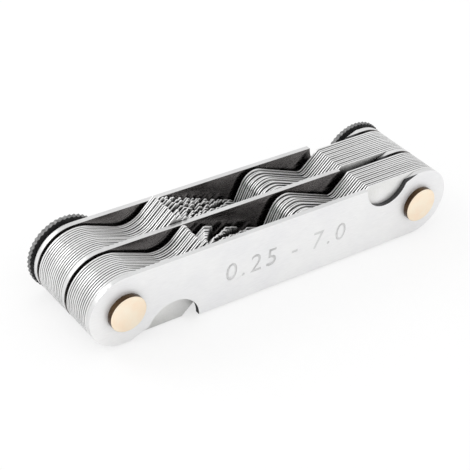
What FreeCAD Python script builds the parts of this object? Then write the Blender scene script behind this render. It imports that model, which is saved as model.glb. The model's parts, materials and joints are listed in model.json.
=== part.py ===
import FreeCAD, Part
import math
import os

# Thread pitch gauge: two packs of toothed blades between three steel plates, on two pivot screws.
# X runs along the case, -Y is the front, +Z is up. The case stands on its long edge, on the floor Z = 0.
# All sizes are in millimetres.

# Case
PIVOT_SPACING = 76.0
CASE_HALF_HEIGHT = 8.0
PLATE_THICKNESS = 1.1

# Thumb notches: one below the left pivot and a smaller one above the right pivot
LEFT_NOTCH_RADIUS = 6.25
LEFT_NOTCH_ALONG = 11.7
RIGHT_NOTCH_RADIUS = 5.75
RIGHT_NOTCH_ALONG = 10.2
NOTCH_CENTRE_BEYOND_EDGE = 0.4
RAMP_ANGLE = 22.0
HORN_RADIUS = 1.0

# Blades
BLADE_THICKNESS = 0.48
BLADE_GAP = 0.12
BLADE_SLANT = 20.5
BLADE_REACH = 35.0
BACK_EDGE_LEVEL = 3.4
TIP_CORNER_RADIUS = 3.7
SCALLOP_RADIUS = 5.5
SCALLOP_RISE_ANGLE = 66.0
HEEL_LENGTH = 14.6
HEEL_ANGLE = 45.0
HEEL_FILLET = 1.5
NARROWEST_FLAT = 0.2

# Where the toothed edge starts along a blade, and how far across it lies, both from the pivot
COARSE_METRIC_EDGE = (14.0, 14.4)
COARSE_INCH_EDGE = (13.5, 15.3)
FINE_EDGE = (14.2, 13.6)

# How far open the blades of a pack rest, in degrees: neighbours differ, and the turns repeat through the pack
REST_TURNS = (0.0, 0.5, 0.2, 0.8, 0.3, 0.6, 0.1)

# Pivot screws, spacer washers and thumb nuts
SHANK_RADIUS = 1.5
RUNNING_CLEARANCE = 0.05
HEAD_RADIUS = 4.0
HEAD_HEIGHT = 1.4
HEAD_CHAMFER = 0.2
SCREW_PROUD = 0.4
SCREW_END_CHAMFER = 0.3
WASHER_RADIUS = 4.6
WASHER_THICKNESS = 0.7
COLLAR_RADIUS = 4.2
COLLAR_HEIGHT = 1.2
RIM_RADIUS = 8.4
RIM_THICKNESS = 1.0
KNURL_COUNT = 48
KNURL_DEPTH = 0.3

# Thread forms: the included angle, and the depth and flat crest as shares of the pitch
METRIC_FORM = (60.0, 0.5413, 0.25)
INCH_FORM = (55.0, 0.6403, 0.1667)
MM_PER_INCH = 25.4

# Pitches of the front pack in millimetres and of the rear pack in threads per inch, each from the front
FINE_METRIC = [1.25, 1.0, 0.9, 0.8, 0.75, 0.7, 0.6, 0.5, 0.45, 0.4, 0.35, 0.25]
COARSE_METRIC = [1.5, 1.75, 2.0, 2.5, 3.0, 3.5, 4.0, 4.5, 5.0, 5.5, 6.0, 7.0]
FINE_INCH = [19, 20, 22, 24, 25, 26, 28, 30, 32, 36, 40, 48, 60, 62]
COARSE_INCH = [18, 16, 13, 12, 10, 4, 4.5, 5, 6, 7, 8, 9, 11, 14]

# Places that follow from the sizes above
BLADE_STEP = BLADE_THICKNESS + BLADE_GAP
FRONT_BAY = BLADE_GAP + len(COARSE_METRIC) * BLADE_STEP + WASHER_THICKNESS
REAR_BAY = BLADE_GAP + len(COARSE_INCH) * BLADE_STEP + WASHER_THICKNESS
CASE_DEPTH = 3 * PLATE_THICKNESS + FRONT_BAY + REAR_BAY
NUT_DEPTH = COLLAR_HEIGHT + RIM_THICKNESS
WHOLE_DEPTH = HEAD_HEIGHT + CASE_DEPTH + NUT_DEPTH + SCREW_PROUD
FRONT_Y = HEAD_HEIGHT - WHOLE_DEPTH / 2
FRONT_BAY_Y = FRONT_Y + PLATE_THICKNESS
MIDDLE_Y = FRONT_BAY_Y + FRONT_BAY
REAR_BAY_Y = MIDDLE_Y + PLATE_THICKNESS
BACK_Y = REAR_BAY_Y + REAR_BAY
CASE_END_Y = FRONT_Y + CASE_DEPTH
PIVOT_Z = RIM_RADIUS
BLADE_BORE = SHANK_RADIUS + RUNNING_CLEARANCE
LEFT = 1
RIGHT = -1
ALONG_Y = FreeCAD.Vector(0, 1, 0)
OPENING_AXIS = FreeCAD.Vector(0, -1, 0)


def pivot_x(side):
    return -side * PIVOT_SPACING / 2


def placed(x, z, side, y):
    """A point given from a pivot, x towards the other one. The right side is the left one turned half round."""
    return FreeCAD.Vector(pivot_x(side) + side * x, y, PIVOT_Z + side * z)


def unit(ax, az, bx, bz):
    length = math.hypot(bx - ax, bz - az)
    return (bx - ax) / length, (bz - az) / length


def corner_arc(before, corner, after):
    """Start, middle and end of the arc that rounds a corner, or the bare corner three times."""
    x, z, radius = corner
    if radius == 0:
        return (x, z), (x, z), (x, z)
    ix, iz = unit(x, z, before[0], before[1])
    ox, oz = unit(x, z, after[0], after[1])
    half = math.acos(ix * ox + iz * oz) / 2
    setback = radius / math.tan(half)
    bx, bz = unit(0, 0, ix + ox, iz + oz)
    reach = radius / math.sin(half) - radius
    start = (x + ix * setback, z + iz * setback)
    middle = (x + bx * reach, z + bz * reach)
    end = (x + ox * setback, z + oz * setback)
    return start, middle, end


def rounded_plate(corners, side, y, thickness):
    """A flat plate whose outline runs through corners, each (x, z, radius), seen from its pivot."""
    arcs = []
    for i, corner in enumerate(corners):
        arcs.append(corner_arc(corners[i - 1], corner, corners[(i + 1) % len(corners)]))
    edges = []
    for i, (start, middle, end) in enumerate(arcs):
        last_end = arcs[i - 1][2]
        if math.dist(last_end, start) > 1e-6:
            edges.append(Part.LineSegment(placed(*last_end, side, y), placed(*start, side, y)).toShape())
        if middle != start:
            arc = Part.Arc(placed(*start, side, y), placed(*middle, side, y), placed(*end, side, y))
            edges.append(arc.toShape())
    face = Part.Face(Part.Wire(edges))
    return face.extrude(ALONG_Y * thickness)


def disc(x, y, z, radius, thickness):
    return Part.makeCylinder(radius, thickness, FreeCAD.Vector(x, y, z), ALONG_Y)


def notched(plate, side, y, along, radius):
    """The plate less a thumb notch: a round bite, a ramp up to it from the round end, and a rounded horn between."""
    half = CASE_HALF_HEIGHT
    centre = placed(along, -half - NOTCH_CENTRE_BEYOND_EDGE, side, y)
    plate = plate.cut(disc(centre.x, y, centre.z, radius, PLATE_THICKNESS))
    slope = math.radians(RAMP_ANGLE)
    ramp_start = half * math.tan(slope / 2)
    ramp_rise = (along - ramp_start) * math.tan(slope)
    corners = [(ramp_start, -half, 0), (along, -half, 0), (along, -half + ramp_rise, 0)]
    plate = plate.cut(rounded_plate(corners, side, y, PLATE_THICKNESS))
    middle = centre + ALONG_Y * (PLATE_THICKNESS / 2)
    on_bite = [edge for edge in plate.Edges if abs(edge.CenterOfMass.distanceToPoint(middle) - radius) < 1e-4]
    horn = min(on_bite, key=lambda edge: abs(edge.CenterOfMass.x - pivot_x(side)))
    return plate.makeFillet(HORN_RADIUS, [horn])


def case_plate(y):
    """A plate with round ends about both pivots, two screw holes and two thumb notches."""
    half = CASE_HALF_HEIGHT
    far = PIVOT_SPACING + half
    corners = [(-half, -half, half), (far, -half, half), (far, half, half), (-half, half, half)]
    plate = rounded_plate(corners, LEFT, y, PLATE_THICKNESS)
    for side in (LEFT, RIGHT):
        plate = plate.cut(disc(pivot_x(side), y, PIVOT_Z, SHANK_RADIUS, PLATE_THICKNESS))
    plate = notched(plate, LEFT, y, LEFT_NOTCH_ALONG, LEFT_NOTCH_RADIUS)
    return notched(plate, RIGHT, y, RIGHT_NOTCH_ALONG, RIGHT_NOTCH_RADIUS)


def tooth_grooves(pitch, form, edge):
    """The corners of the grooves along a blade's tooth edge, measured along and across the blade."""
    angle, depth_share, crest_share = form
    start, level = edge
    lean = math.tan(math.radians(angle / 2))
    depth = depth_share * pitch
    crest = crest_share * pitch
    floor = pitch - crest - 2 * depth * lean
    if min(crest, floor) < NARROWEST_FLAT:
        depth = pitch / 2 / lean
        crest = 0
        floor = 0
    count = int((BLADE_REACH - start) / pitch)
    points = []
    for i in range(count):
        left = start + i * pitch + crest / 2
        right = start + (i + 1) * pitch - crest / 2
        if crest or i == 0:
            points.append((left, level))
        points.append(((left + right - floor) / 2, level - depth))
        if floor:
            points.append(((left + right + floor) / 2, level - depth))
        points.append((right, level))
    return points


def from_slant(along, across, radius=0):
    """A corner given along and across the slanted part of a blade, as (x, z, radius) from its pivot."""
    slant = math.radians(BLADE_SLANT)
    x = along * math.cos(slant) + across * math.sin(slant)
    z = across * math.cos(slant) - along * math.sin(slant)
    return x, z, radius


def blade(side, y, pitch, form, edge, rest_turn):
    """A blade: a round end on its pivot, a thumb heel, and a slanted strip with teeth on its upper edge."""
    end = CASE_HALF_HEIGHT
    start, level = edge
    slant = math.radians(BLADE_SLANT)
    end_corner_z = end * (1 + math.sin(slant)) / math.cos(slant)
    scallop_start = start - (level - end) / math.tan(math.radians(SCALLOP_RISE_ANGLE))
    heel_slope = math.tan(math.radians(HEEL_ANGLE))
    back_slope = math.tan(slant)
    back_z_at_pivot = BACK_EDGE_LEVEL / math.cos(slant)
    valley_x = (back_z_at_pivot + end + HEEL_LENGTH * heel_slope) / (heel_slope + back_slope)
    valley_z = back_z_at_pivot - valley_x * back_slope
    corners = [(-end, end_corner_z, end)]
    corners.append(from_slant(scallop_start, end, SCALLOP_RADIUS))
    corners.append(from_slant(start, level))
    for along, across in tooth_grooves(pitch, form, edge):
        corners.append(from_slant(along, across))
    corners.append(from_slant(BLADE_REACH, level))
    corners.append(from_slant(BLADE_REACH, BACK_EDGE_LEVEL, TIP_CORNER_RADIUS))
    corners.append((valley_x, valley_z, HEEL_FILLET))
    corners.append((HEEL_LENGTH, -end, 0))
    corners.append((-end, -end, end))
    plate = rounded_plate(corners, side, y, BLADE_THICKNESS)
    plate = plate.cut(disc(pivot_x(side), y, PIVOT_Z, BLADE_BORE, BLADE_THICKNESS))
    plate.rotate(placed(0, 0, side, y), OPENING_AXIS, rest_turn)
    return plate


def pivot_screw(side):
    """A screw with a plain disc head on the front plate. Its shank carries plates, blades and washers."""
    x = pivot_x(side)
    head = disc(x, FRONT_Y - HEAD_HEIGHT, PIVOT_Z, HEAD_RADIUS, HEAD_HEIGHT)
    front_rim = [edge for edge in head.Edges if edge.CenterOfMass.y < FRONT_Y - HEAD_HEIGHT / 2]
    rim_circle = [edge for edge in front_rim if isinstance(edge.Curve, Part.Circle)]
    head = head.makeChamfer(HEAD_CHAMFER, rim_circle)
    length = CASE_DEPTH + NUT_DEPTH + SCREW_PROUD - SCREW_END_CHAMFER
    shank = disc(x, FRONT_Y, PIVOT_Z, SHANK_RADIUS, length)
    end_radius = SHANK_RADIUS - SCREW_END_CHAMFER
    end_place = FreeCAD.Vector(x, FRONT_Y + length, PIVOT_Z)
    end = Part.makeCone(SHANK_RADIUS, end_radius, SCREW_END_CHAMFER, end_place, ALONG_Y)
    return head.fuse([shank, end]).removeSplitter()


def washer(side, y):
    ring = disc(pivot_x(side), y, PIVOT_Z, WASHER_RADIUS, WASHER_THICKNESS)
    return ring.cut(disc(pivot_x(side), y, PIVOT_Z, SHANK_RADIUS, WASHER_THICKNESS))


def knurled_rim(x, y):
    """The nut's rim: straight ridges all round, with one ridge at the very bottom."""
    points = []
    for i in range(2 * KNURL_COUNT + 1):
        angle = math.pi * i / KNURL_COUNT
        radius = RIM_RADIUS - KNURL_DEPTH * (i % 2)
        points.append(FreeCAD.Vector(x + radius * math.sin(angle), y, PIVOT_Z - radius * math.cos(angle)))
    return Part.Face(Part.makePolygon(points)).extrude(ALONG_Y * RIM_THICKNESS)


def thumb_nut(side):
    """A knurled nut whose collar bears on the back plate."""
    x = pivot_x(side)
    collar = disc(x, CASE_END_Y, PIVOT_Z, COLLAR_RADIUS, COLLAR_HEIGHT)
    nut = collar.fuse(knurled_rim(x, CASE_END_Y + COLLAR_HEIGHT))
    return nut.cut(disc(x, CASE_END_Y, PIVOT_Z, BLADE_BORE, NUT_DEPTH))


def blade_name(pitch, unit_name):
    return "blade_" + f"{pitch:g}".replace(".", "_") + "_" + unit_name


def blade_pack(bay_y, coarse, coarse_edge, fine, form, unit_name):
    """All the blades of one bay, from the front: the coarse ones on the left and the fine ones on the right."""
    nodes = {}
    for side, pitches, edge in ((LEFT, coarse, coarse_edge), (RIGHT, fine, FINE_EDGE)):
        for i, pitch in enumerate(pitches):
            y = bay_y + BLADE_GAP + i * BLADE_STEP
            pitch_mm = MM_PER_INCH / pitch if unit_name == "tpi" else pitch
            rest_turn = REST_TURNS[i % len(REST_TURNS)]
            nodes[blade_name(pitch, unit_name)] = blade(side, y, pitch_mm, form, edge, rest_turn)
    return nodes


def all_nodes():
    nodes = {"front_plate": case_plate(FRONT_Y)}
    nodes["middle_plate"] = case_plate(MIDDLE_Y)
    nodes["back_plate"] = case_plate(BACK_Y)
    washer_ys = (MIDDLE_Y - WASHER_THICKNESS, BACK_Y - WASHER_THICKNESS)
    washers = [washer(side, y) for side in (LEFT, RIGHT) for y in washer_ys]
    nodes["spacer_washers"] = Part.makeCompound(washers)
    for side_name, side in (("left", LEFT), ("right", RIGHT)):
        nodes[side_name + "_pivot_screw"] = pivot_screw(side)
        nodes[side_name + "_thumb_nut"] = thumb_nut(side)
    nodes.update(blade_pack(FRONT_BAY_Y, COARSE_METRIC, COARSE_METRIC_EDGE, FINE_METRIC, METRIC_FORM, "mm"))
    nodes.update(blade_pack(REAR_BAY_Y, COARSE_INCH, COARSE_INCH_EDGE, FINE_INCH, INCH_FORM, "tpi"))
    return nodes


os.makedirs("parts", exist_ok=True)
for node_name, shape in all_nodes().items():
    shape.exportStep("parts/" + node_name + ".step")
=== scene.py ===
import json
import math
import bmesh
import bpy
from mathutils import Matrix, Vector

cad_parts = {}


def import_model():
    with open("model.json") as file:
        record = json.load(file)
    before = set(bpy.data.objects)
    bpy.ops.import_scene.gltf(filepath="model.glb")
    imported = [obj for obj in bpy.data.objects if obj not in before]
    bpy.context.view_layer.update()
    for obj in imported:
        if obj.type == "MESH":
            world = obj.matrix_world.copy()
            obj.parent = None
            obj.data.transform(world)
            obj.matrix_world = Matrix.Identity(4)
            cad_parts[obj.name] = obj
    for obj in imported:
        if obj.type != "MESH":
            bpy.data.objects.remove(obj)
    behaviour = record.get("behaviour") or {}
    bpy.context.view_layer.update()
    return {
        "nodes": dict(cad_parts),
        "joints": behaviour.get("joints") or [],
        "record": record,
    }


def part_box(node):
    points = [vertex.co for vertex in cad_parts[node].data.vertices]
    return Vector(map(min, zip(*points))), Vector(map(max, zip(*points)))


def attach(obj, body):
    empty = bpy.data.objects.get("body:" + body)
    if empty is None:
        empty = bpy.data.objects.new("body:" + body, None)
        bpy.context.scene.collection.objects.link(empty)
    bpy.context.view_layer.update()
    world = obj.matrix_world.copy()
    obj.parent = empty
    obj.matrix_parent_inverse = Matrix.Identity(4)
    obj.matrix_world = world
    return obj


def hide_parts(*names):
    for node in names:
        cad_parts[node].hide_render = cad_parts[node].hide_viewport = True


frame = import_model()

MM = 0.001
LEFT = 1
RIGHT = -1

# Sizes that the frame gives
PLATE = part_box("front_plate")
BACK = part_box("back_plate")
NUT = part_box("left_thumb_nut")
LEFT_PIVOT = next(j["pos_m"] for j in frame["joints"] if j["name"] == "left_nut_turn")
PIVOT_Z = LEFT_PIVOT[2]
PIVOT_X = abs(LEFT_PIVOT[0])
FRONT_Y = PLATE[0].y
HALF_HEIGHT = (PLATE[1].z - PLATE[0].z) / 2
RIM_RADIUS = (NUT[1].z - NUT[0].z) / 2

# The foremost blades start within this distance of the front plate
FIRST_BLADES_END = PLATE[1].y + 0.3 * MM
LEFT_BLADES = [j["child"] for j in frame["joints"] if j["child"].startswith("blade_") and j["pos_m"][0] < 0]

# Finish
WELD = 2e-6
PLATE_BEVEL = 0.10 * MM
BLADE_BEVEL = 0.05 * MM
SCREW_BEVEL = 0.06 * MM
NUT_BEVEL = 0.1 * MM
WASHER_BEVEL = 0.05 * MM
SHARP_ANGLE = math.radians(28)
NOTCH_RADIUS = {LEFT: 6.25 * MM, RIGHT: 5.75 * MM}
NOTCH_ALONG = {LEFT: 11.7 * MM, RIGHT: 10.2 * MM}
NOTCH_BEYOND = 0.4 * MM
RAMP_START = 3 * MM
RAMP_LEAN = 0.3
BLADE_STEP = 0.6 * MM
SHOWN_THICKNESSES_AT_PIVOT = (0.95, 0.88, 0.92, 0.76, 0.90, 0.84, 0.93)
SHOWN_THICKNESS_AT_TEETH = 0.70
MARK_DEPTH = 0.07 * MM
MARK_PROUD = 0.012 * MM
MARK_ALONG = 21 * MM
MARK_ACROSS = 7.5 * MM
MARK_HEIGHT = 2.6 * MM
BLADE_SLANT = math.radians(20.5)
THINNING_START = 9 * MM
THINNING_LENGTH = 3 * MM
TEETH_START = 16 * MM
TEETH_BEYOND_CASE = 0.1 * MM
RIM_BAND = 0.6 * MM
FRONT_NUMBERS = "0.25 - 7.0"
FRONT_NUMBERS_HEIGHT = 4.3 * MM
FRONT_NUMBERS_PLACE = (1.5 * MM, FRONT_Y, PIVOT_Z - 0.3 * MM)
FRONT_NUMBERS_SPACING = 1.3

# Share of the font's size that a numeral's height takes
NUMERAL_SHARE = 0.7

# How closely a face has to face along the depth axis to count as flat, and how near it has to lie to a size
FLAT = 0.9
FACING = 0.5
CLOSE = 0.05 * MM
CLEAR_OF_EDGE = 0.02 * MM

# Stage
FLOOR_HALF = 3.0
FLOOR_GLOW = 0.7
WORLD_STRENGTH = 0.93
LAMP_PLACE = (-0.34, 0.38, 0.34)
LAMP_SIZE = 0.30
LAMP_POWER = 0.8

# Camera: its place in pivot spacings from the middle of the front plate, and its turns in degrees
CAMERA_PLACE = (-2.028, -2.191, 2.122)
CAMERA_HEADING = 40.28
CAMERA_DIP = 34.90
CAMERA_ROLL = 6.34
CAMERA_LENS = 104.2


# ---------- node helpers ----------

def new_material(name):
    material = bpy.data.materials.new(name)
    material.use_nodes = True
    nodes = material.node_tree.nodes
    return material, nodes, material.node_tree.links, nodes["Principled BSDF"]


def coordinates(nodes, links, scale):
    """Object coordinates, in millimetres, stretched by scale."""
    place = nodes.new("ShaderNodeTexCoord")
    mapping = nodes.new("ShaderNodeMapping")
    mapping.inputs["Scale"].default_value = [1000 * s for s in scale]
    links.new(place.outputs["Object"], mapping.inputs["Vector"])
    return mapping.outputs["Vector"]


def noise_of(nodes, links, scale, detail=4, roughness=0.55):
    noise = nodes.new("ShaderNodeTexNoise")
    noise.inputs["Scale"].default_value = 1.0
    noise.inputs["Detail"].default_value = detail
    noise.inputs["Roughness"].default_value = roughness
    links.new(coordinates(nodes, links, scale), noise.inputs["Vector"])
    return noise.outputs["Fac"]


def ramp(nodes, links, source, stops):
    """A colour ramp through stops, each (place, grey or colour)."""
    node = nodes.new("ShaderNodeValToRGB")
    elements = node.color_ramp.elements
    while len(elements) < len(stops):
        elements.new(0.5)
    for element, (place, colour) in zip(elements, stops):
        element.position = place
        element.color = (*(colour if isinstance(colour, tuple) else (colour,) * 3), 1)
    links.new(source, node.inputs["Fac"])
    return node.outputs["Color"]


def mixed(nodes, links, factor, a, b, blend="MIX"):
    node = nodes.new("ShaderNodeMix")
    node.data_type = "RGBA"
    node.blend_type = blend
    for socket, value in ((node.inputs[0], factor), (node.inputs[6], a), (node.inputs[7], b)):
        if isinstance(value, bpy.types.NodeSocket):
            links.new(value, socket)
        elif isinstance(value, tuple):
            socket.default_value = (*value, 1)
        else:
            socket.default_value = value
    return node.outputs[2]


def painted_hollow_shade(nodes, links, colour, reach, darkest):
    """Painted shade: the colour, darker where other surfaces stand within reach."""
    near = nodes.new("ShaderNodeAmbientOcclusion")
    near.samples = 8
    near.inputs["Distance"].default_value = reach
    return mixed(nodes, links, 1.0, colour, ramp(nodes, links, near.outputs["AO"], darkest), "MULTIPLY")


def bump(nodes, links, height, strength, distance):
    node = nodes.new("ShaderNodeBump")
    node.inputs["Strength"].default_value = strength
    node.inputs["Distance"].default_value = distance
    links.new(height, node.inputs["Height"])
    return node.outputs["Normal"]


# ---------- materials ----------

def steel(name, colour, worn, roughness, grain, spread=0.05, painted_shade=None, metal=1.0):
    """Ground steel: a fine grain one way, soft cloudy variation, and roughness that follows the grain, and,
    when asked, painted shade darkening its hollows.
    """
    material, nodes, links, surface = new_material(name)
    lines = noise_of(nodes, links, grain, 3)
    clouds = noise_of(nodes, links, (0.09, 0.09, 0.09), 3)
    tone = ramp(nodes, links, clouds, [(0.35, worn), (0.6, colour)])
    streaks = ramp(nodes, links, lines, [(0.3, 1 - spread), (0.7, 1.0)])
    shade = mixed(nodes, links, 1.0, tone, streaks, "MULTIPLY")
    # Painted shade in hollows, where other surfaces stand near
    if painted_shade:
        shade = painted_hollow_shade(nodes, links, shade, *painted_shade)
    links.new(shade, surface.inputs["Base Color"])
    rough = ramp(nodes, links, lines, [(0.3, roughness + 0.06), (0.7, roughness - 0.04)])
    links.new(rough, surface.inputs["Roughness"])
    links.new(bump(nodes, links, lines, 0.15, 0.01 * MM), surface.inputs["Normal"])
    surface.inputs["Metallic"].default_value = metal
    return material


# Painted shade for the blade faces inside the packs: its reach, and the ramp that darkens them to near black
PAINTED_HOLLOW_SHADE = (3.0 * MM, [(0.50, 0.01), (0.92, 1.0)])
plate_face = steel("plate_face", (0.95, 0.95, 0.95), (0.91, 0.91, 0.92), 0.48, (0.6, 6, 6), metal=0.6)
# The plates' inner faces are painted dark: painted shade between the plates and the blades
plate_inside_shaded = steel("plate_inside_shaded", (0.30, 0.285, 0.28), (0.20, 0.188, 0.185), 0.24, (0.5, 5, 5), 0.15)
plate_edge = steel("plate_edge", (0.82, 0.82, 0.82), (0.74, 0.74, 0.74), 0.40, (1.5, 9, 1.5))
# The notch edges are painted near black: painted shade, against the plates' light edge steel
notch_edge_shaded = steel("notch_edge_shaded", (0.10, 0.10, 0.105), (0.07, 0.07, 0.07), 0.38, (3, 9, 3), 0.3)
blade_face = steel("blade_face", (0.95, 0.95, 0.94), (0.88, 0.88, 0.86), 0.40, (3, 3, 3), 0.06, PAINTED_HOLLOW_SHADE, 0.5)
blade_edge = steel("blade_edge", (0.94, 0.94, 0.94), (0.86, 0.86, 0.86), 0.38, (2.0, 7, 2.0), 0.08)
# Painted highlight: the teeth get a whiter, less metallic copy of the blade edge steel so that they read
# bright
blade_tooth_lit = steel("blade_tooth_lit", (1.0, 1.0, 1.0), (0.95, 0.95, 0.95), 0.30, (2.0, 9, 2.0), 0.05, metal=0.25)
# The washers are painted near black: painted shade in the gaps between the plates
washer_shaded = steel("washer_shaded", (0.06, 0.06, 0.06), (0.04, 0.04, 0.04), 0.42, (4, 4, 4), 0.2)
blade_open_face = steel(
    "blade_open_face", (0.95, 0.95, 0.94), (0.88, 0.88, 0.86), 0.45, (3, 3, 3), 0.06, metal=0.5)
marking = steel("marking", (0.80, 0.80, 0.80), (0.66, 0.66, 0.66), 0.5, (8, 8, 8), 0.1, metal=0.7)
blade_marking = steel("blade_marking", (0.22, 0.22, 0.22), (0.15, 0.15, 0.15), 0.5, (8, 8, 8), 0.2)


def brass(name, colour, worn, roughness):
    """Brass: a warm cloudy tone, with a fine noise in its roughness and relief."""
    material, nodes, links, surface = new_material(name)
    clouds = noise_of(nodes, links, (0.25, 0.25, 0.25), 4)
    fine = noise_of(nodes, links, (7, 7, 7), 2)
    links.new(ramp(nodes, links, clouds, [(0.35, worn), (0.65, colour)]), surface.inputs["Base Color"])
    rough = ramp(nodes, links, fine, [(0.3, roughness + 0.05), (0.7, roughness - 0.05)])
    links.new(rough, surface.inputs["Roughness"])
    links.new(bump(nodes, links, fine, 0.1, 0.01 * MM), surface.inputs["Normal"])
    surface.inputs["Metallic"].default_value = 1.0
    return material


brass_face = brass("brass_face", (1.0, 0.90, 0.74), (1.0, 0.84, 0.66), 0.45)
# The heads' sides are painted dark brown: painted shade, against the pale brass of their faces
brass_side_shaded = brass("brass_side_shaded", (0.12, 0.075, 0.04), (0.06, 0.035, 0.02), 0.35)


def black_oxide(name, colour, worn, roughness):
    """Blackened steel, greyer where it is rubbed."""
    material, nodes, links, surface = new_material(name)
    clouds = noise_of(nodes, links, (0.8, 0.8, 0.8), 5)
    fine = noise_of(nodes, links, (12, 12, 12), 2)
    links.new(ramp(nodes, links, clouds, [(0.4, colour), (0.75, worn)]), surface.inputs["Base Color"])
    rough = ramp(nodes, links, fine, [(0.3, roughness + 0.08), (0.7, roughness - 0.05)])
    links.new(rough, surface.inputs["Roughness"])
    links.new(bump(nodes, links, fine, 0.2, 0.02 * MM), surface.inputs["Normal"])
    surface.inputs["Metallic"].default_value = 0.4
    return material


# The nuts' faces are near black: their black oxide, darkened further by painted shade; the knurled rims are
# lighter
nut_black_and_shade = black_oxide("nut_black_and_shade", (0.012, 0.012, 0.013), (0.03, 0.03, 0.03), 0.45)
nut_rim = black_oxide("nut_rim", (0.16, 0.16, 0.16), (0.30, 0.30, 0.30), 0.40)


# ---------- pieces made from the CAD's own outlines ----------

def welded_copy(node, name):
    """A new object with a node's mesh, its faces joined at their shared corners."""
    mesh = frame["nodes"][node].data.copy()
    mesh.name = name
    work = bmesh.new()
    work.from_mesh(mesh)
    bmesh.ops.remove_doubles(work, verts=work.verts, dist=WELD)
    bmesh.ops.recalc_face_normals(work, faces=work.faces)
    work.to_mesh(mesh)
    work.free()
    mesh.materials.clear()
    piece = bpy.data.objects.new(name, mesh)
    bpy.context.scene.collection.objects.link(piece)
    return piece


def bevelled(piece, width, segments=2):
    bevel = piece.modifiers.new("edge_break", "BEVEL")
    bevel.width = width
    bevel.segments = segments
    bevel.limit_method = "ANGLE"
    bevel.angle_limit = SHARP_ANGLE
    bevel.harden_normals = True
    bevel.use_clamp_overlap = True
    for face in piece.data.polygons:
        face.use_smooth = True
    return piece


def painted(piece, materials, choose):
    """Gives each face the material whose number choose(face) returns."""
    for material in materials:
        piece.data.materials.append(material)
    for face in piece.data.polygons:
        face.material_index = choose(face)
    return piece


def body_of(node):
    return next(body for body, nodes in frame["record"]["behaviour"]["bodies"].items() if node in nodes)


def stands_for(piece, node):
    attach(piece, body_of(node))
    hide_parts(node)
    return piece


def from_pivot(place):
    """(side, along, up) of a place, seen from the nearer pivot with the other pivot ahead."""
    side = LEFT if place.x < 0 else RIGHT
    return side, side * (place.x + side * PIVOT_X), side * (place.z - PIVOT_Z)


# Picks the notch edges that get painted shade
def in_notch(face):
    """The round bite, and the horn and ramp beside it, but not the plate's long edge."""
    side, along, up = from_pivot(face.center)
    reach = math.hypot(along - NOTCH_ALONG[side], up + HALF_HEIGHT + NOTCH_BEYOND)
    on_bite = abs(reach - NOTCH_RADIUS[side]) < CLOSE and up > -HALF_HEIGHT + CLEAR_OF_EDGE
    on_ramp = side * face.normal.x > RAMP_LEAN and RAMP_START < along < NOTCH_ALONG[side]
    return on_bite or on_ramp


def plate_choice(outer_y):
    """Outer face, inner faces (painted shade), edges and notch edges (painted shade) are numbers 0 to 3."""
    def choose(face):
        if abs(face.normal.y) > FLAT:
            return 0 if outer_y is not None and abs(face.center.y - outer_y) < CLOSE else 1
        return 3 if in_notch(face) else 2
    return choose


def number_mesh(name, text, height, thickness, place, turn=0.0, spacing=1.0):
    """Plain numerals as a solid, centred on place, read from the front and turned about the depth axis."""
    curve = bpy.data.curves.new(name, "FONT")
    curve.body = text
    curve.size = height / NUMERAL_SHARE
    curve.align_x = "CENTER"
    curve.align_y = "CENTER"
    curve.resolution_u = 3
    curve.extrude = thickness / 2
    curve.space_character = spacing
    letters = bpy.data.objects.new(name, curve)
    bpy.context.scene.collection.objects.link(letters)
    depsgraph = bpy.context.evaluated_depsgraph_get()
    mesh = bpy.data.meshes.new_from_object(letters.evaluated_get(depsgraph))
    bpy.data.objects.remove(letters)
    bpy.data.curves.remove(curve)
    upright = Matrix.Rotation(turn, 4, "Y") @ Matrix.Rotation(math.pi / 2, 4, "X")
    mesh.transform(Matrix.Translation(place) @ upright)
    mesh.name = name
    mesh.materials.clear()
    piece = bpy.data.objects.new(name, mesh)
    bpy.context.scene.collection.objects.link(piece)
    return piece


def settled(piece):
    """The piece with its modifiers applied."""
    depsgraph = bpy.context.evaluated_depsgraph_get()
    mesh = bpy.data.meshes.new_from_object(piece.evaluated_get(depsgraph))
    piece.modifiers.clear()
    piece.data = mesh
    return piece


def engraved(piece, text, height, place):
    """Plain numerals sunk into the piece's front face."""
    name = piece.name + "_cutter"
    cutter = number_mesh(name, text, height, 2 * MARK_DEPTH, place, spacing=FRONT_NUMBERS_SPACING)
    cutter.data.materials.append(marking)
    settled(piece)
    cut = piece.modifiers.new("numbers", "BOOLEAN")
    cut.operation = "DIFFERENCE"
    cut.solver = "EXACT"
    cut.material_mode = "TRANSFER"
    cut.object = cutter
    settled(piece)
    bpy.data.objects.remove(cutter)
    piece.data.set_sharp_from_angle(angle=SHARP_ANGLE)
    even = piece.modifiers.new("even_faces", "WEIGHTED_NORMAL")
    even.keep_sharp = True
    return settled(piece)


def dress_plates():
    outer = {"front_plate": FRONT_Y, "middle_plate": None, "back_plate": BACK[1].y}
    for node, outer_y in outer.items():
        piece = welded_copy(node, node + "_sheet")
        painted(piece, (plate_face, plate_inside_shaded, plate_edge, notch_edge_shaded), plate_choice(outer_y))
        bevelled(piece, PLATE_BEVEL)
        if node == "front_plate":
            engraved(piece, FRONT_NUMBERS, FRONT_NUMBERS_HEIGHT, FRONT_NUMBERS_PLACE)
        stands_for(piece, node)


def blade_choice(face):
    """Flat faces, plain edges and teeth (painted highlight) are numbers 0 to 2."""
    if abs(face.normal.y) > FLAT:
        return 0
    side, along, up = from_pivot(face.center)
    across = along * math.sin(BLADE_SLANT) + up * math.cos(BLADE_SLANT)
    return 2 if across > HALF_HEIGHT + TEETH_BEYOND_CASE and along > TEETH_START else 1


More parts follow.
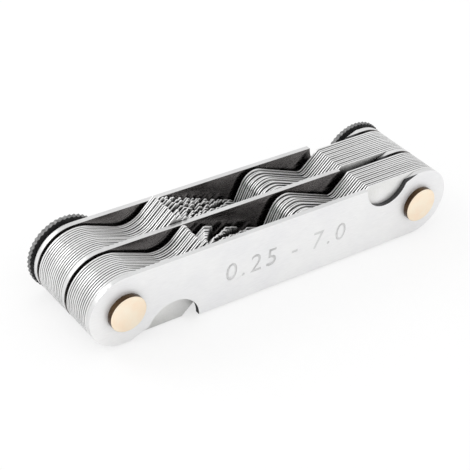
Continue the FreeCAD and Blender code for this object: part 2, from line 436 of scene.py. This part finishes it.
def mark_blade(node, front, inset):
    """The blade's own pitch, in plain numerals on its front face, in the middle of its slanted strip."""
    pitch = node.removeprefix("blade_").rsplit("_", 1)[0].replace("_", ".")
    side = LEFT if node in LEFT_BLADES else RIGHT
    x = MARK_ALONG * math.cos(BLADE_SLANT) + MARK_ACROSS * math.sin(BLADE_SLANT)
    z = MARK_ACROSS * math.cos(BLADE_SLANT) - MARK_ALONG * math.sin(BLADE_SLANT)
    place = (side * (x - PIVOT_X), front + inset - MARK_PROUD / 2, PIVOT_Z + side * z)
    turn = BLADE_SLANT + (0 if side == LEFT else math.pi)
    mark = number_mesh(node + "_mark", pitch, MARK_HEIGHT, MARK_PROUD, place, turn)
    mark.data.materials.append(blade_marking)
    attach(mark, body_of(node))


def shown_thickness(place, at_pivot):
    """The share of a blade's thickness that is shown: less along its toothed half, so that the gaps read."""
    side, along, up = from_pivot(place)
    reach = along * math.cos(BLADE_SLANT) - up * math.sin(BLADE_SLANT)
    share = min(max((reach - THINNING_START) / THINNING_LENGTH, 0), 1)
    return at_pivot + share * (SHOWN_THICKNESS_AT_TEETH - at_pivot)


def dress_blades():
    for node in frame["nodes"]:
        if node.startswith("blade_"):
            piece = welded_copy(node, node + "_sheet")
            low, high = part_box(node)
            middle = (low.y + high.y) / 2
            layer = round((low.y - PLATE[1].y) / BLADE_STEP)
            at_pivot = SHOWN_THICKNESSES_AT_PIVOT[layer % len(SHOWN_THICKNESSES_AT_PIVOT)]
            for vertex in piece.data.vertices:
                vertex.co.y = middle + (vertex.co.y - middle) * shown_thickness(vertex.co, at_pivot)
            # The foremost blades take the face without painted shade
            face = blade_open_face if low.y < FIRST_BLADES_END else blade_face
            painted(piece, (face, blade_edge, blade_tooth_lit), blade_choice)
            bevelled(piece, BLADE_BEVEL, 1)
            stands_for(piece, node)
            mark_blade(node, low.y, (high.y - low.y) * (1 - SHOWN_THICKNESS_AT_TEETH) / 2)


def dress_screws():
    for node in ("left_pivot_screw", "right_pivot_screw"):
        piece = welded_copy(node, node + "_turned")
        # Head faces keep the pale brass; the sides carry painted shade
        painted(piece, (brass_face, brass_side_shaded), lambda face: 0 if abs(face.normal.y) > FACING else 1)
        bevelled(piece, SCREW_BEVEL)
        stands_for(piece, node)


def dress_nuts():
    for node in ("left_thumb_nut", "right_thumb_nut"):
        piece = welded_copy(node, node + "_knurled")
        rim = RIM_RADIUS - RIM_BAND

        def choose(face):
            reach = math.hypot(abs(face.center.x) - PIVOT_X, face.center.z - PIVOT_Z)
            return 1 if reach > rim and abs(face.normal.y) < FACING else 0
        painted(piece, (nut_black_and_shade, nut_rim), choose)
        bevelled(piece, NUT_BEVEL)
        stands_for(piece, node)


def dress_washers():
    node = "spacer_washers"
    piece = welded_copy(node, node + "_rings")
    painted(piece, (washer_shaded,), lambda face: 0)
    bevelled(piece, WASHER_BEVEL)
    stands_for(piece, node)


# ---------- stage ----------

def floor():
    mesh = bpy.data.meshes.new("floor")
    half = FLOOR_HALF
    corners = [(-half, -half, 0), (half, -half, 0), (half, half, 0), (-half, half, 0)]
    mesh.from_pydata(corners, [], [(0, 1, 2, 3)])
    plane = bpy.data.objects.new("floor", mesh)
    bpy.context.scene.collection.objects.link(plane)
    material, nodes, links, surface = new_material("floor_white")
    surface.inputs["Base Color"].default_value = (1.0, 1.0, 1.0, 1)
    surface.inputs["Roughness"].default_value = 0.9
    surface.inputs["Specular IOR Level"].default_value = 0.0
    path = nodes.new("ShaderNodeLightPath")
    white = nodes.new("ShaderNodeEmission")
    share = nodes.new("ShaderNodeMath")
    share.operation = "MULTIPLY"
    share.inputs[1].default_value = FLOOR_GLOW
    links.new(path.outputs["Is Camera Ray"], share.inputs[0])
    blend = nodes.new("ShaderNodeMixShader")
    links.new(share.outputs[0], blend.inputs[0])
    links.new(surface.outputs[0], blend.inputs[1])
    links.new(white.outputs[0], blend.inputs[2])
    links.new(blend.outputs[0], nodes["Material Output"].inputs["Surface"])
    mesh.materials.append(material)


def world():
    scene_world = bpy.data.worlds.new("studio")
    scene_world.use_nodes = True
    background = scene_world.node_tree.nodes["Background"]
    background.inputs["Color"].default_value = (1, 1, 1, 1)
    background.inputs["Strength"].default_value = WORLD_STRENGTH
    bpy.context.scene.world = scene_world


def area_lamp(name, place, target, size, power):
    data = bpy.data.lights.new(name, "AREA")
    data.size = size
    data.energy = power
    lamp = bpy.data.objects.new(name, data)
    lamp.location = place
    lamp.rotation_euler = (Vector(target) - Vector(place)).to_track_quat("-Z", "Y").to_euler()
    bpy.context.scene.collection.objects.link(lamp)


def camera():
    """Looks from the front left and above, rolled a little, at the place and turns set at the top."""
    pivot_spacing = 2 * PIVOT_X
    place = Vector(CAMERA_PLACE) * pivot_spacing + Vector((0, FRONT_Y, PIVOT_Z))
    heading = math.radians(CAMERA_HEADING)
    dip = math.radians(CAMERA_DIP)
    roll = math.radians(CAMERA_ROLL)
    forward = Vector((math.sin(heading) * math.cos(dip), math.cos(heading) * math.cos(dip), -math.sin(dip)))
    level = Vector((math.cos(heading), -math.sin(heading), 0))
    upright = level.cross(forward)
    right = level * math.cos(roll) + upright * math.sin(roll)
    up = right.cross(forward)
    data = bpy.data.cameras.new("camera")
    data.lens = CAMERA_LENS
    data.sensor_width = 36
    data.clip_start = 0.01
    seen_from = bpy.data.objects.new("camera", data)
    turn = Matrix((right, up, -forward)).transposed().to_4x4()
    seen_from.matrix_world = Matrix.Translation(place) @ turn
    bpy.context.scene.collection.objects.link(seen_from)
    bpy.context.scene.camera = seen_from


dress_plates()
dress_blades()
dress_screws()
dress_nuts()
dress_washers()
floor()
world()
area_lamp("upper_left", LAMP_PLACE, (0, 0, PIVOT_Z), LAMP_SIZE, LAMP_POWER)
camera()
bpy.context.scene.view_settings.view_transform = "Standard"
